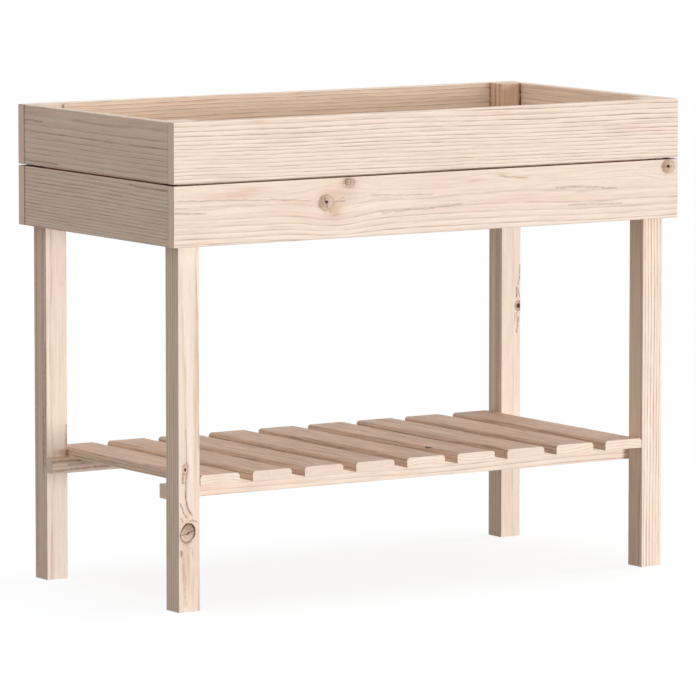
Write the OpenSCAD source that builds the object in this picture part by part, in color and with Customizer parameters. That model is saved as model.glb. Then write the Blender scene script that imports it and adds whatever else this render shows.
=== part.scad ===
// Raised planter table: a box of two board courses and a slatted shelf on four square legs.
// Lengths are in millimetres and Z is up. The origin is the middle of the footprint on the
// ground. X runs along the front from left to right, and Y from the front to the back.

/* [Overall] */
// Length of the box from left to right
planter_l = 1000; // [800:10:1400]
// Depth of the box from front to back
planter_d = 500; // [400:10:640]
// Height of the rim above the ground
planter_h = 800; // [700:10:900]

/* [Box boards] */
// Height of one board
board_h = 100; // [90:1:140]
// Thickness of a board
board_t = 18; // [16:0.5:28]
// Open joint between the lower and the upper boards
course_gap = 2.5; // [0:0.5:6]
// Radius of the boards' eased long edges
board_edge_r = 2; // [0.5:0.5:4]

/* [Legs] */
// Side of a square leg
leg_w = 40; // [34:1:60]
// Radius of the legs' eased long edges
leg_edge_r = 1; // [0.5:0.5:4]

/* [Slats] */
// Width of a shelf or floor slat
slat_w = 75; // [60:1:90]
// Thickness of a shelf or floor slat
slat_t = 16; // [14:1:22]
// Radius of the rounded upper edges of a slat
slat_edge_r = 5.5; // [1:0.5:6]

/* [Bearers] */
// Thickness of a shelf rail or floor batten, across its length
bearer_t = 20; // [16:1:30]
// Height of a shelf rail or floor batten
bearer_h = 24; // [20:1:40]
// Radius of the bearers' eased long edges
bearer_edge_r = 1; // [0.5:0.5:3]

/* [Shelf] */
// Height of the shelf rails' underside above the ground
shelf_z = 182; // [80:2:300]
// Smallest gap between two shelf slats, before the slats are spread evenly
shelf_gap_min = 25; // [8:1:40]
// Clearance between an outer shelf slat and the legs
shelf_leg_play = 1.5; // [0.5:0.5:4]

/* [Floor] */
// Height of the floor battens' underside above the lower boards' lower edge
floor_rise = 8; // [0:1:30]
// Smallest drainage gap between two floor slats, before the slats are spread evenly
floor_gap_min = 4.5; // [3:0.5:12]
// Clearance between the ends of the floor slats and the boards or legs round them
floor_play = 1; // [0.5:0.5:3]

/* [Screws] */
// Shank diameter of every wood screw
screw_d = 4; // [3:0.5:5]
// Diameter of the countersunk heads
screw_head_d = 8; // [7:0.5:9]
// Clearance round a screw in its hole, on each side
screw_play = 0.1; // [0.05:0.05:0.3]
// Length of the cross recess in a head, from end to end
recess_l = 4.4; // [3:0.2:5.4]
// Width of the recess's arms
recess_w = 1; // [0.6:0.1:1.4]
// Depth of the recess
recess_depth = 1.6; // [1:0.1:2.4]
// How far a screw through a leg reaches into a board
board_bite = 10; // [8:1:14]
// How far a screw through a floor batten reaches into a board
batten_bite = 10; // [7:1:14]
// How far a screw through a floor slat reaches into a batten
floor_bite = 14; // [8:1:18]
// How far a screw through a shelf rail reaches into a front leg
leg_bite = 30; // [15:1:30]
// How far a screw through a back leg reaches into a shelf rail
rail_bite = 10; // [7:1:14]
// How far a screw through a shelf rail reaches up into a slat
slat_bite = 11; // [7:1:12]

/* [Screw places] */
// Height of the lowest leg screw above a board's lower edge
course_screw_z = 16; // [10:1:20]
// Height between the two screws that hold a board's end to a leg
course_screw_rise = 30; // [24:1:40]
// Height of a short board's screws above the long board's screws in the same leg
screw_stagger = 10; // [8:1:14]
// Distance between the two screws that hold a shelf rail to a leg
rail_screw_spacing = 18; // [14:1:20]
// Floor slats between two screws of a long batten
batten_screw_step = 3; // [2:1:4]
// Distance of a short batten's screws from its ends
short_batten_screw_in = 70; // [50:5:90]
// Distance of an end strip's outer screws from its ends
strip_screw_in = 24; // [15:1:32]

/* [Hidden] */
$fn = 48;

// Overlap of a cutting shape past the surface that it opens
cut_past = 1;

// Box
course_z = [planter_h - 2 * board_h - course_gap, planter_h - board_h];
box_in_x = planter_l / 2 - board_t;
box_in_y = planter_d / 2 - board_t;

// Leg centres and the legs' faces towards the middle
leg_x = box_in_x - leg_w / 2;
leg_y = box_in_y - leg_w / 2;
leg_in_x = box_in_x - leg_w;
leg_in_y = box_in_y - leg_w;

// Shelf
shelf_span = 2 * (leg_in_x - shelf_leg_play);
shelf_count = floor((shelf_span + shelf_gap_min) / (slat_w + shelf_gap_min));
shelf_pitch = (shelf_span - slat_w) / (shelf_count - 1);
shelf_slat_l = 2 * box_in_y;
rail_l = 2 * box_in_x;
rail_y = leg_in_y - bearer_t / 2;

// Floor
batten_z = course_z[0] + floor_rise;
floor_z = batten_z + bearer_h;
floor_count = floor((2 * leg_in_x - floor_gap_min) / (slat_w + floor_gap_min));
floor_gap = (2 * leg_in_x - floor_count * slat_w) / (floor_count + 1);
floor_pitch = slat_w + floor_gap;
floor_slat_l = 2 * (box_in_y - floor_play);
strip_w = leg_w - floor_play;
strip_x = leg_in_x + strip_w / 2;
strip_l = 2 * (leg_in_y - floor_play);
long_batten_y = box_in_y - bearer_t / 2;
short_batten_x = box_in_x - bearer_t / 2;

// Screws
head_h = (screw_head_d - screw_d) / 2;
tip_h = screw_d;
box_screw_l = leg_w + board_bite;
batten_screw_l = bearer_t + batten_bite;
floor_screw_l = slat_t + floor_bite;
front_rail_screw_l = bearer_t + leg_bite;
back_rail_screw_l = leg_w + rail_bite;
slat_screw_l = bearer_h + slat_bite;

// Colours
board_colour = "#eedcc9";
leg_colour = "#ecd9c5";
slat_colour = "#dfc4ab";
bearer_colour = "#e6ceb6";
screw_colour = "silver";

// Places that repeat

// X of slat i of n slats at a pitch, centred on the middle
function spread(i, n, pitch) = (i - (n + 1) / 2) * pitch;

// Turns +Z to the direction d, a unit vector along one axis
module aim(d) {
    rotate([-90 * d[1] + (d[2] < 0 ? 180 : 0), 90 * d[0], 0]) children();
}

module place(point, d) {
    translate(point) aim(d) children();
}

// Sections and stock

// Rectangle with its four corners rounded, centred
module eased_section(w, h, r) {
    square([w, h - 2 * r], center = true);
    square([w - 2 * r, h], center = true);
    for (i = [-1, 1], j = [-1, 1])
        translate([i * (w / 2 - r), j * (h / 2 - r)]) circle(r);
}

// Slat section that stands on the X axis, with its two upper corners rounded
module slat_section(w, t, r) {
    translate([-w / 2, 0]) square([w, t - r]);
    translate([-w / 2 + r, 0]) square([w - 2 * r, t]);
    for (i = [-1, 1])
        translate([i * (w / 2 - r), t - r]) circle(r);
}

// Stock that runs along X, centred in length and thickness, with its lower edge at z = 0
module stock_along_x(l, t, h, r) {
    translate([0, 0, h / 2]) rotate([90, 0, 90])
        linear_extrude(l, center = true) eased_section(t, h, r);
}

// The same stock along Y
module stock_along_y(l, t, h, r) {
    translate([0, 0, h / 2]) rotate([90, 0, 0])
        linear_extrude(l, center = true) eased_section(t, h, r);
}

// Slat that runs along Y and lies on z = 0
module slat_along_y(l, w) {
    rotate([90, 0, 0])
        linear_extrude(l, center = true) slat_section(w, slat_t, slat_edge_r);
}

// Wood screw, its head flush with z = 0 and its tip at z = l
module wood_screw(l) {
    color(screw_colour)
    difference() {
        rotate_extrude() polygon([
            [0, 0],
            [screw_head_d / 2, 0],
            [screw_d / 2, head_h],
            [screw_d / 2, l - tip_h],
            [0, l]
        ]);
        for (turn = [0, 90])
            rotate(turn) translate([-recess_l / 2, -recess_w / 2, -cut_past])
                cube([recess_l, recess_w, recess_depth + cut_past]);
    }
}

// Countersunk hole for a wood screw of length l that is driven in at z = 0
module screw_hole(l) {
    hole_d = screw_d + 2 * screw_play;
    mouth_d = screw_head_d + 2 * screw_play;
    translate([0, 0, -cut_past]) cylinder(d = mouth_d, h = cut_past);
    cylinder(d1 = mouth_d, d2 = hole_d, h = head_h);
    cylinder(d = hole_d, h = l + screw_play);
}

// Screw places: each holds its children with z = 0 at the head and +Z along the screw

// From the leg at corner sx, sy into the long board of a course
module long_board_screws(sx, sy, course) {
    for (k = [0, 1])
        place([sx * leg_x, sy * leg_in_y, course_z[course] + course_screw_z + k * course_screw_rise],
              [0, sy, 0]) children();
}

// From the leg at corner sx, sy into the short board of a course
module short_board_screws(sx, sy, course) {
    for (k = [0, 1])
        place([sx * leg_in_x, sy * leg_y,
               course_z[course] + course_screw_z + screw_stagger + k * course_screw_rise],
              [sx, 0, 0]) children();
}

// Between a shelf rail and the leg at corner sx, sy. All are driven in from the back, so that no
// head faces the front: through the rail into a front leg, and through a back leg into the rail.
module rail_screws_at(sx, sy) {
    head_y = sy < 0 ? bearer_t - leg_in_y : box_in_y;
    for (side = [-1, 1])
        place([sx * leg_x + side * rail_screw_spacing / 2, head_y, shelf_z + bearer_h / 2],
              [0, -1, 0]) children();
}

function rail_screw_l(sy) = sy < 0 ? front_rail_screw_l : back_rail_screw_l;

// From below through the shelf rail sy into slat i
module shelf_slat_screw(i, sy) {
    place([spread(i, shelf_count, shelf_pitch), sy * rail_y, shelf_z], [0, 0, 1]) children();
}

// From a long batten into its board, under the gaps between floor slats
module long_batten_screws(sy) {
    for (i = [1 : batten_screw_step : floor_count - 1])
        place([spread(i + 0.5, floor_count, floor_pitch), sy * (box_in_y - bearer_t),
               batten_z + bearer_h / 2], [0, sy, 0]) children();
}

// From a short batten into its board
module short_batten_screws(sx) {
    for (end = [-1, 1])
        place([sx * (box_in_x - bearer_t), end * (leg_in_y - short_batten_screw_in),
               batten_z + bearer_h / 2], [sx, 0, 0]) children();
}

// From above through floor slat i into the long batten sy
module floor_slat_screw(i, sy) {
    place([spread(i, floor_count, floor_pitch), sy * long_batten_y, floor_z + slat_t],
          [0, 0, -1]) children();
}

// From above through an end strip into its short batten
module strip_screws(sx) {
    for (step = [-1, 0, 1])
        place([sx * short_batten_x, step * (strip_l / 2 - strip_screw_in), floor_z + slat_t],
              [0, 0, -1]) children();
}

// Frame

module leg(sx, sy) {
    color(leg_colour)
    difference() {
        translate([sx * leg_x, sy * leg_y, 0])
            linear_extrude(planter_h) eased_section(leg_w, leg_w, leg_edge_r);
        for (course = [0, 1]) {
            long_board_screws(sx, sy, course) screw_hole(box_screw_l);
            short_board_screws(sx, sy, course) screw_hole(box_screw_l);
        }
        rail_screws_at(sx, sy) screw_hole(rail_screw_l(sy));
    }
}

// Front or back board, which covers the ends of the short boards
module long_board(sy, course) {
    color(board_colour)
    difference() {
        translate([0, sy * (planter_d / 2 - board_t / 2), course_z[course]])
            stock_along_x(planter_l, board_t, board_h, board_edge_r);
        for (sx = [-1, 1])
            long_board_screws(sx, sy, course) screw_hole(box_screw_l);
        if (course == 0)
            long_batten_screws(sy) screw_hole(batten_screw_l);
    }
}

// Left or right board, which fits between the long boards
module short_board(sx, course) {
    color(board_colour)
    difference() {
        translate([sx * (planter_l / 2 - board_t / 2), 0, course_z[course]])
            stock_along_y(2 * box_in_y, board_t, board_h, board_edge_r);
        for (sy = [-1, 1])
            short_board_screws(sx, sy, course) screw_hole(box_screw_l);
        if (course == 0)
            short_batten_screws(sx) screw_hole(batten_screw_l);
    }
}

// Floor of the box

module long_batten(sy) {
    color(bearer_colour)
    difference() {
        translate([0, sy * long_batten_y, batten_z])
            stock_along_x(2 * leg_in_x, bearer_t, bearer_h, bearer_edge_r);
        long_batten_screws(sy) screw_hole(batten_screw_l);
        for (i = [1 : floor_count])
            floor_slat_screw(i, sy) screw_hole(floor_screw_l);
    }
}

module short_batten(sx) {
    color(bearer_colour)
    difference() {
        translate([sx * short_batten_x, 0, batten_z])
            stock_along_y(2 * leg_in_y, bearer_t, bearer_h, bearer_edge_r);
        short_batten_screws(sx) screw_hole(batten_screw_l);
        strip_screws(sx) screw_hole(floor_screw_l);
    }
}

module floor_slat(i) {
    color(slat_colour)
    difference() {
        translate([spread(i, floor_count, floor_pitch), 0, floor_z])
            slat_along_y(floor_slat_l, slat_w);
        for (sy = [-1, 1])
            floor_slat_screw(i, sy) screw_hole(floor_screw_l);
    }
}

// Narrow strip that closes the floor between two legs
module floor_end_strip(sx) {
    color(slat_colour)
    difference() {
        translate([sx * strip_x, 0, floor_z]) slat_along_y(strip_l, strip_w);
        strip_screws(sx) screw_hole(floor_screw_l);
    }
}

// Shelf

module shelf_rail(sy) {
    color(bearer_colour)
    difference() {
        translate([0, sy * rail_y, shelf_z])
            stock_along_x(rail_l, bearer_t, bearer_h, bearer_edge_r);
        for (sx = [-1, 1])
            rail_screws_at(sx, sy) screw_hole(rail_screw_l(sy));
        for (i = [1 : shelf_count])
            shelf_slat_screw(i, sy) screw_hole(slat_screw_l);
    }
}

module shelf_slat(i) {
    color(slat_colour)
    difference() {
        translate([spread(i, shelf_count, shelf_pitch), 0, shelf_z + bearer_h])
            slat_along_y(shelf_slat_l, slat_w);
        for (sy = [-1, 1])
            shelf_slat_screw(i, sy) screw_hole(slat_screw_l);
    }
}

// Screws

module box_screws() {
    for (sx = [-1, 1], sy = [-1, 1], course = [0, 1]) {
        long_board_screws(sx, sy, course) wood_screw(box_screw_l);
        short_board_screws(sx, sy, course) wood_screw(box_screw_l);
    }
}

module batten_screws() {
    for (side = [-1, 1]) {
        long_batten_screws(side) wood_screw(batten_screw_l);
        short_batten_screws(side) wood_screw(batten_screw_l);
    }
}

module floor_screws() {
    for (side = [-1, 1]) {
        for (i = [1 : floor_count])
            floor_slat_screw(i, side) wood_screw(floor_screw_l);
        strip_screws(side) wood_screw(floor_screw_l);
    }
}

module rail_screws() {
    for (sx = [-1, 1], sy = [-1, 1])
        rail_screws_at(sx, sy) wood_screw(rail_screw_l(sy));
}

module slat_screws() {
    for (i = [1 : shelf_count], sy = [-1, 1])
        shelf_slat_screw(i, sy) wood_screw(slat_screw_l);
}

leg(-1, -1);  // leg_front_left
leg(1, -1);  // leg_front_right
leg(-1, 1);  // leg_back_left
leg(1, 1);  // leg_back_right
long_board(-1, 0);  // lower_front_board
long_board(1, 0);  // lower_back_board
short_board(-1, 0);  // lower_left_board
short_board(1, 0);  // lower_right_board
long_board(-1, 1);  // upper_front_board
long_board(1, 1);  // upper_back_board
short_board(-1, 1);  // upper_left_board
short_board(1, 1);  // upper_right_board
long_batten(-1);  // floor_batten_front
long_batten(1);  // floor_batten_back
short_batten(-1);  // floor_batten_left
short_batten(1);  // floor_batten_right
for (i = [1 : floor_count])
    floor_slat(i);
floor_end_strip(-1);  // floor_end_strip_left
floor_end_strip(1);  // floor_end_strip_right
shelf_rail(-1);  // shelf_rail_front
shelf_rail(1);  // shelf_rail_back
for (i = [1 : shelf_count])
    shelf_slat(i);
box_screws();
batten_screws();
floor_screws();
rail_screws();
slat_screws();
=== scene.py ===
import math

import bpy
from mathutils import Matrix, Vector


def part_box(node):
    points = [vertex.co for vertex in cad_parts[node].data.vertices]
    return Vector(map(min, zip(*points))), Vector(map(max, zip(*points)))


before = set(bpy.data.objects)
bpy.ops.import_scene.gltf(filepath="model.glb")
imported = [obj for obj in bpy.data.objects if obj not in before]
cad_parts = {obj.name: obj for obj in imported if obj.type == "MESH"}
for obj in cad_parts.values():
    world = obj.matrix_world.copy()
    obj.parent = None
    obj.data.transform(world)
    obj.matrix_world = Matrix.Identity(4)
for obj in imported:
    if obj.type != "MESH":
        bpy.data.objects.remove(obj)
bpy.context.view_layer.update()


# Small helpers for building node trees. Sizes in this script are in metres.

def new_node(tree, kind, **settings):
    made = tree.nodes.new(kind)
    for name, value in settings.items():
        setattr(made, name, value)
    return made


def feed(socket, value):
    """Links an output to an input, or writes a plain value there."""
    if isinstance(value, bpy.types.NodeSocket):
        socket.id_data.links.new(value, socket)
    elif value is not None:
        socket.default_value = value


def calc(tree, operation, first, second=None):
    made = new_node(tree, "ShaderNodeMath", operation=operation)
    feed(made.inputs[0], first)
    feed(made.inputs[1], second)
    return made.outputs[0]


def times(tree, *values):
    """The product of all the values, multiplied from the first to the last."""
    product = values[0]
    for value in values[1:]:
        product = calc(tree, "MULTIPLY", product, value)
    return product


def fade(tree, value, rate):
    """1 at value 0, and less the further value is above it."""
    return calc(tree, "EXPONENT", times(tree, value, -rate))


def vector_calc(tree, operation, first, second=None):
    made = new_node(tree, "ShaderNodeVectorMath", operation=operation)
    feed(made.inputs[0], first)
    feed(made.inputs[1], second)
    return made.outputs["Value" if operation in ("LENGTH", "DOT_PRODUCT") else "Vector"]


def ramp(tree, value, low, high, bottom=0.0, top=1.0):
    """A smooth step of value from bottom at low to top at high."""
    made = new_node(tree, "ShaderNodeMapRange", interpolation_type="SMOOTHSTEP")
    for name, number in (("From Min", low), ("From Max", high), ("To Min", bottom), ("To Max", top)):
        feed(made.inputs[name], number)
    feed(made.inputs["Value"], value)
    return made.outputs["Result"]


def fall(tree, value, low, high):
    """A smooth step of value from 1 at low to 0 at high."""
    return ramp(tree, value, low, high, 1.0, 0.0)


def blur_noise(tree, place, scale=1.0, detail=2.0, rough=0.5, colour=False):
    made = new_node(tree, "ShaderNodeTexNoise", noise_dimensions="3D")
    feed(made.inputs["Vector"], place)
    feed(made.inputs["Scale"], scale)
    feed(made.inputs["Detail"], detail)
    feed(made.inputs["Roughness"], rough)
    return made.outputs["Color" if colour else "Fac"]


def parts_of(tree, vector):
    made = new_node(tree, "ShaderNodeSeparateXYZ")
    feed(made.inputs[0], vector)
    return made.outputs[0], made.outputs[1], made.outputs[2]


def vector_of(tree, x, y, z):
    made = new_node(tree, "ShaderNodeCombineXYZ")
    for socket, value in zip(made.inputs, (x, y, z)):
        feed(socket, value)
    return made.outputs[0]


def evenly(tree, value):
    return vector_of(tree, value, value, value)


def stretch(tree, vector, shares):
    """Scales a vector along the grain, through the show face and across the grain."""
    return vector_calc(tree, "MULTIPLY", vector, shares)


def seeded(tree, place, fineness, seed_shift):
    """A place in a pattern of this fineness, moved to where the piece's own share of it begins."""
    return vector_calc(tree, "ADD", stretch(tree, place, fineness), seed_shift)


def shiver(tree, place, detail):
    """A soft random vector about zero."""
    soft = blur_noise(tree, place, detail=detail, colour=True)
    return vector_calc(tree, "SUBTRACT", soft, (MID_NOISE, MID_NOISE, MID_NOISE))


def skin(tree, from_surface, depth):
    """1 at the show face, and 0 deeper than depth under it."""
    return fall(tree, calc(tree, "ABSOLUTE", from_surface), SKIN_TOP * depth, depth)


def soft_spot(tree, off, reach):
    """1 where off is zero, and near 0 past reach. How deep it lies makes no difference."""
    share = stretch(tree, vector_calc(tree, "DIVIDE", off, reach), FLAT)
    return fade(tree, vector_calc(tree, "DOT_PRODUCT", share, share), 1.0)


# A Mix node for colours takes them at its sockets 6 and 7 and gives the blend at 2. One for numbers
# takes them at 2 and 3 and gives the blend at 0.

def blend_colour(tree, amount, first, second, kind="MIX"):
    made = new_node(tree, "ShaderNodeMix", data_type="RGBA", blend_type=kind)
    feed(made.inputs[0], amount)
    feed(made.inputs[6], first)
    feed(made.inputs[7], second)
    return made.outputs[2]


def blend_number(tree, amount, first, second):
    made = new_node(tree, "ShaderNodeMix", data_type="FLOAT")
    feed(made.inputs[0], amount)
    feed(made.inputs[2], first)
    feed(made.inputs[3], second)
    return made.outputs[0]


def new_group(name, inputs, outputs):
    """A shader node group with named sockets: floats F, vectors V and colours C. It comes with what is
    put into the group and what it gives out."""
    kinds = {"F": "NodeSocketFloat", "V": "NodeSocketVector", "C": "NodeSocketColor"}
    group = bpy.data.node_groups.new(name, "ShaderNodeTree")
    for label, kind in inputs:
        group.interface.new_socket(label, in_out="INPUT", socket_type=kinds[kind])
    for label, kind in outputs:
        group.interface.new_socket(label, in_out="OUTPUT", socket_type=kinds[kind])
    entry = new_node(group, "NodeGroupInput")
    leave = new_node(group, "NodeGroupOutput")
    return group, entry.outputs, leave.inputs


def use_group(tree, group, **values):
    made = new_node(tree, "ShaderNodeGroup", node_tree=group)
    for label, value in values.items():
        feed(made.inputs[label.replace("_", " ")], value)
    return made.outputs


def new_material(name):
    """A new material, its node tree and its shader."""
    material = bpy.data.materials.new(name)
    material.use_nodes = True
    tree = material.node_tree
    return material, tree, tree.nodes["Principled BSDF"]


def feed_shader(tree, shader, colour, rough, height, strength, depth):
    """Feeds colour, roughness and relief, which is strength of height and depth metres deep."""
    relief = new_node(tree, "ShaderNodeBump")
    for name, value in (("Strength", strength), ("Distance", depth), ("Height", height)):
        feed(relief.inputs[name], value)
    for name, value in (("Base Color", colour), ("Roughness", rough), ("Normal", relief.outputs[0])):
        feed(shader.inputs[name], value)


def dress(name, material):
    """Gives one CAD node this material alone."""
    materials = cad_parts[name].data.materials
    materials.clear()
    materials.append(material)


def linear(red, green, blue):
    """A colour written as it looks on a screen, 0 to 255, for a shader."""
    def step(level):
        share = level / 255
        return share / 12.92 if share <= 0.04045 else ((share + 0.055) / 1.055) ** 2.4
    return (step(red), step(green), step(blue), 1.0)


# The colours of bare planed pine, and some that are painted light and shade

EARLY_WOOD = linear(243, 227, 213)
SPRING_WOOD = linear(250, 238, 229)
LATE_WOOD = linear(156, 118, 86)
PINK_WOOD = linear(242, 219, 206)
STRAW_WOOD = linear(242, 227, 209)
EDGE_WEAR_AND_HIGHLIGHT = linear(251, 240, 229)
# Painted light, for faces that lie in shade
PAINTED_LIGHT_WOOD = linear(254, 240, 225)
RESIN_FLECK = linear(196, 160, 126)
KNOT_PALE = linear(224, 201, 180)
KNOT_BROWN = linear(170, 141, 118)
KNOT_LINE = linear(128, 94, 72)
KNOT_BARK = linear(70, 38, 18)
KNOT_HALO = linear(216, 186, 162)
PINK_STAIN = linear(222, 190, 170)
TAN_STAIN = linear(216, 190, 162)
# Painted warm shade, for the inside of the box
PAINTED_WARM_SHADE = linear(222, 186, 156)
OLIVE_STAIN = linear(210, 194, 160)
GRAIN_INK = linear(168, 138, 114)
RESIN_INK = linear(116, 74, 42)
JOINT_SHADOW = linear(136, 82, 44)

# Tints, which the wood's colours are multiplied by. The third brightens some pieces with painted light,
# and the fourth darkens the back rail with painted shade

PLAIN = (1.0, 1.0, 1.0, 1.0)
PALE_END = (1.01, 1.00, 1.02, 1.0)
PAINTED_LIGHT_TINT = (1.10, 1.09, 1.08, 1.0)
SHADED = (0.94, 0.89, 0.86, 1.0)
SLAT_TOP = (1.04, 0.96, 0.91, 1.0)
SLAT_END = (1.03, 1.04, 1.02, 1.0)
DULL_SLAT_END = (0.95, 0.93, 0.92, 1.0)

# Shares of a vector along the grain, through the show face and across the grain

FLAT = (1.0, 0.0, 1.0)
OFF_GRAIN = (0.0, 1.0, 1.0)
ACROSS_ONLY = (0.0, 0.0, 1.0)

# The middle of a noise pattern's range, and the share of a mark's depth in which it keeps its full
# strength. Names that end in STEP, further on, are smooth steps: where they begin and end and, if not
# 0 and 1, their values there.

MID_NOISE = 0.5
SKIN_TOP = 0.4


# Growth rings round a heart line that runs beside or inside the piece. Facing is the surface's own
# direction: where it points at the heart the rings lie flat, and their lines are soft and faint.

DRIFT_FINENESS = (2.6, 9.0, 9.0)
QUIVER_FINENESS = (16.0, 60.0, 60.0)
QUIVER_SIZE = (0.0, 0.0014, 0.0014)
FADING_FINENESS = (6.0, 50.0, 50.0)
BREAK_FINENESS = (22.0, 240.0, 240.0)
YEAR_FINENESS = 0.31
YEAR_SPREAD = 0.6
FLATNESS_STEP = (0.90, 0.998, 1.0, 0.25)
FADING_STEP = (0.30, 0.65, 0.70, 1.0)
BREAK_STEP = (0.36, 0.60, 0.50, 1.0)
TONE_STEP = (0.0, 1.0, 0.60, 1.0)
END_STEP = (0.5, 0.8)

# The seasons of a year's ring, as shares of its width

SPRING_START_STEP = (0.0, 0.03)
SPRING_END_STEP = (0.02, 0.42)
SUMMER_STEP = (0.15, 0.90, 0.0, 0.12)
LATE_STEP = (0.72, 0.94)
WINTER_STEP = (0.965, 1.0)

rings, put, out = new_group(
    "Growth rings",
    [("Place", "V"), ("Facing", "V"), ("Heart", "V"), ("Ring Width", "F"), ("Lean", "V"),
     ("Wave", "F"), ("Seed", "F")],
    [("Late Wood", "F"), ("Spring Wood", "F"), ("Tone", "F")],
)
place = put["Place"]
along = parts_of(rings, place)[0]
seed_shift = evenly(rings, put["Seed"])
drift = shiver(rings, seeded(rings, place, DRIFT_FINENESS, seed_shift), 1.0)
drift = stretch(rings, drift, vector_of(rings, 0.0, put["Wave"], put["Wave"]))
quiver = shiver(rings, seeded(rings, place, QUIVER_FINENESS, seed_shift), 1.0)
quiver = stretch(rings, quiver, QUIVER_SIZE)
lean_shift = stretch(rings, put["Lean"], evenly(rings, along))
from_heart = vector_calc(rings, "SUBTRACT", stretch(rings, place, OFF_GRAIN), put["Heart"])
from_heart = vector_calc(rings, "ADD", from_heart, drift)
from_heart = vector_calc(rings, "ADD", from_heart, quiver)
from_heart = vector_calc(rings, "SUBTRACT", from_heart, lean_shift)
years = calc(rings, "DIVIDE", vector_calc(rings, "LENGTH", from_heart), put["Ring Width"])
year_place = vector_of(rings, times(rings, years, YEAR_FINENESS), put["Seed"], 0.0)
uneven = times(rings, blur_noise(rings, year_place, detail=1.0), YEAR_SPREAD)
years = calc(rings, "ADD", years, uneven)
season = calc(rings, "FRACT", years)
tone_node = new_node(rings, "ShaderNodeTexWhiteNoise", noise_dimensions="2D")
whole_year = vector_of(rings, calc(rings, "FLOOR", years), put["Seed"], 0.0)
feed(tone_node.inputs["Vector"], whole_year)
tone = tone_node.outputs["Value"]
flatness = vector_calc(rings, "DOT_PRODUCT", vector_calc(rings, "NORMALIZE", from_heart), put["Facing"])
crossing = ramp(rings, calc(rings, "ABSOLUTE", flatness), *FLATNESS_STEP)
fading = blur_noise(rings, seeded(rings, place, FADING_FINENESS, seed_shift))
crossing = times(rings, crossing, ramp(rings, fading, *FADING_STEP))
at_end = ramp(rings, calc(rings, "ABSOLUTE", parts_of(rings, put["Facing"])[0]), *END_STEP)
broken = blur_noise(rings, seeded(rings, place, BREAK_FINENESS, seed_shift), detail=1.0)
broken = calc(rings, "MAXIMUM", ramp(rings, broken, *BREAK_STEP), at_end)
late = times(rings, ramp(rings, season, *LATE_STEP), ramp(rings, tone, *TONE_STEP), broken)
late = calc(rings, "MAXIMUM", late, ramp(rings, season, *SUMMER_STEP))
late = times(rings, late, fall(rings, season, *WINTER_STEP), crossing)
spring = fall(rings, season, *SPRING_END_STEP)
spring = times(rings, spring, ramp(rings, season, *SPRING_START_STEP), crossing)
feed(out["Late Wood"], late)
feed(out["Spring Wood"], spring)
feed(out["Tone"], tone)


# An eddy: the grain flows round the place where a branch grew

eddy, put, out = new_group(
    "Eddy in the grain",
    [("Place", "V"), ("Before", "V"), ("Centre", "V"), ("Reach", "V"), ("Swirl", "F")],
    [("Place", "V")],
)
off = vector_calc(eddy, "SUBTRACT", put["Before"], put["Centre"])
swirl = times(eddy, soft_spot(eddy, off, put["Reach"]), put["Swirl"])
bend = stretch(eddy, stretch(eddy, off, ACROSS_ONLY), evenly(eddy, swirl))
feed(out["Place"], vector_calc(eddy, "SUBTRACT", put["Place"], bend))


# A knot on the show face: a brown side and a pale side, a thin dark rim, a dark core and cracks.
# near is 0 at its middle and 1 at its rim. Sizes are shares of the knot, and KNOT_DEPTH is in metres.

KNOT_DEPTH = 0.004
UNREST_FINENESS = (1.2, 1.2, 1.2)
UNREST_SIZE = (0.34, 0.0, 0.34)
CHIP_FINENESS = (5.5, 5.5, 5.5)
CHIP_SIZE = (0.16, 0.0, 0.16)
SPECKLE_FINENESS = (6.0, 6.0, 6.0)
WOBBLE_FINENESS = (2.2, 2.2, 2.2)
TURN_RATE = 19.0
TURN_WOBBLE = 9.0
HALO_START = 0.9
HALO_FALL = 2.6
RIM_PLACE = 0.98
RIM_WIDTH = 0.085
BROWN_RAGGEDNESS = 0.7
CORE_RAGGEDNESS = 0.3
CRACK_RAGGEDNESS = 0.06
CORE_SINK = 1.2
RIM_SINK = 0.5
BROWN_STEP = (-0.35, 1.15)
TURN_STEP = (-0.2, 1.0, 0.0, 0.35)
SPECKLE_STEP = (0.60, 0.72, 0.0, 0.55)
FILL_STEP = (0.80, 1.10)
HALO_STEP = (0.35, 0.62, 0.25, 1.0)
RIM_STEP = (0.3, 0.6, 0.55, 1.0)
RIM_SIDE_STEP = (-1.0, 1.0, 0.45, 1.0)
CRACK_STEP = (0.03, 0.13)
CRACK_END_STEP = (0.55, 1.0)
CORE_STEP = (0.70, 1.35)

knot, put, out = new_group(
    "Knot",
    [("Color", "C"), ("Height", "F"), ("Place", "V"), ("Centre", "V"), ("Size", "V"), ("Tilt", "F"),
     ("Dark Side", "V"), ("Fill", "F"), ("Rim", "F"), ("Core", "F"), ("Halo", "F"), ("Cracks", "F"),
     ("Rays", "F"), ("Ray Turn", "F"), ("Seed", "F")],
    [("Color", "C"), ("Height", "F")],
)
off = vector_calc(knot, "SUBTRACT", put["Place"], put["Centre"])
at_face = skin(knot, parts_of(knot, off)[1], KNOT_DEPTH)
seed_shift = evenly(knot, put["Seed"])
spin = new_node(knot, "ShaderNodeVectorRotate", rotation_type="Y_AXIS")
feed(spin.inputs["Vector"], off)
feed(spin.inputs["Angle"], put["Tilt"])
flat = stretch(knot, vector_calc(knot, "DIVIDE", spin.outputs["Vector"], put["Size"]), FLAT)
unrest = shiver(knot, seeded(knot, flat, UNREST_FINENESS, seed_shift), 1.0)
chips = shiver(knot, seeded(knot, flat, CHIP_FINENESS, seed_shift), 2.0)
flat = vector_calc(knot, "ADD", flat, stretch(knot, unrest, UNREST_SIZE))
flat = vector_calc(knot, "ADD", flat, stretch(knot, chips, CHIP_SIZE))
near = vector_calc(knot, "LENGTH", flat)
flat_parts = parts_of(knot, flat)
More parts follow.
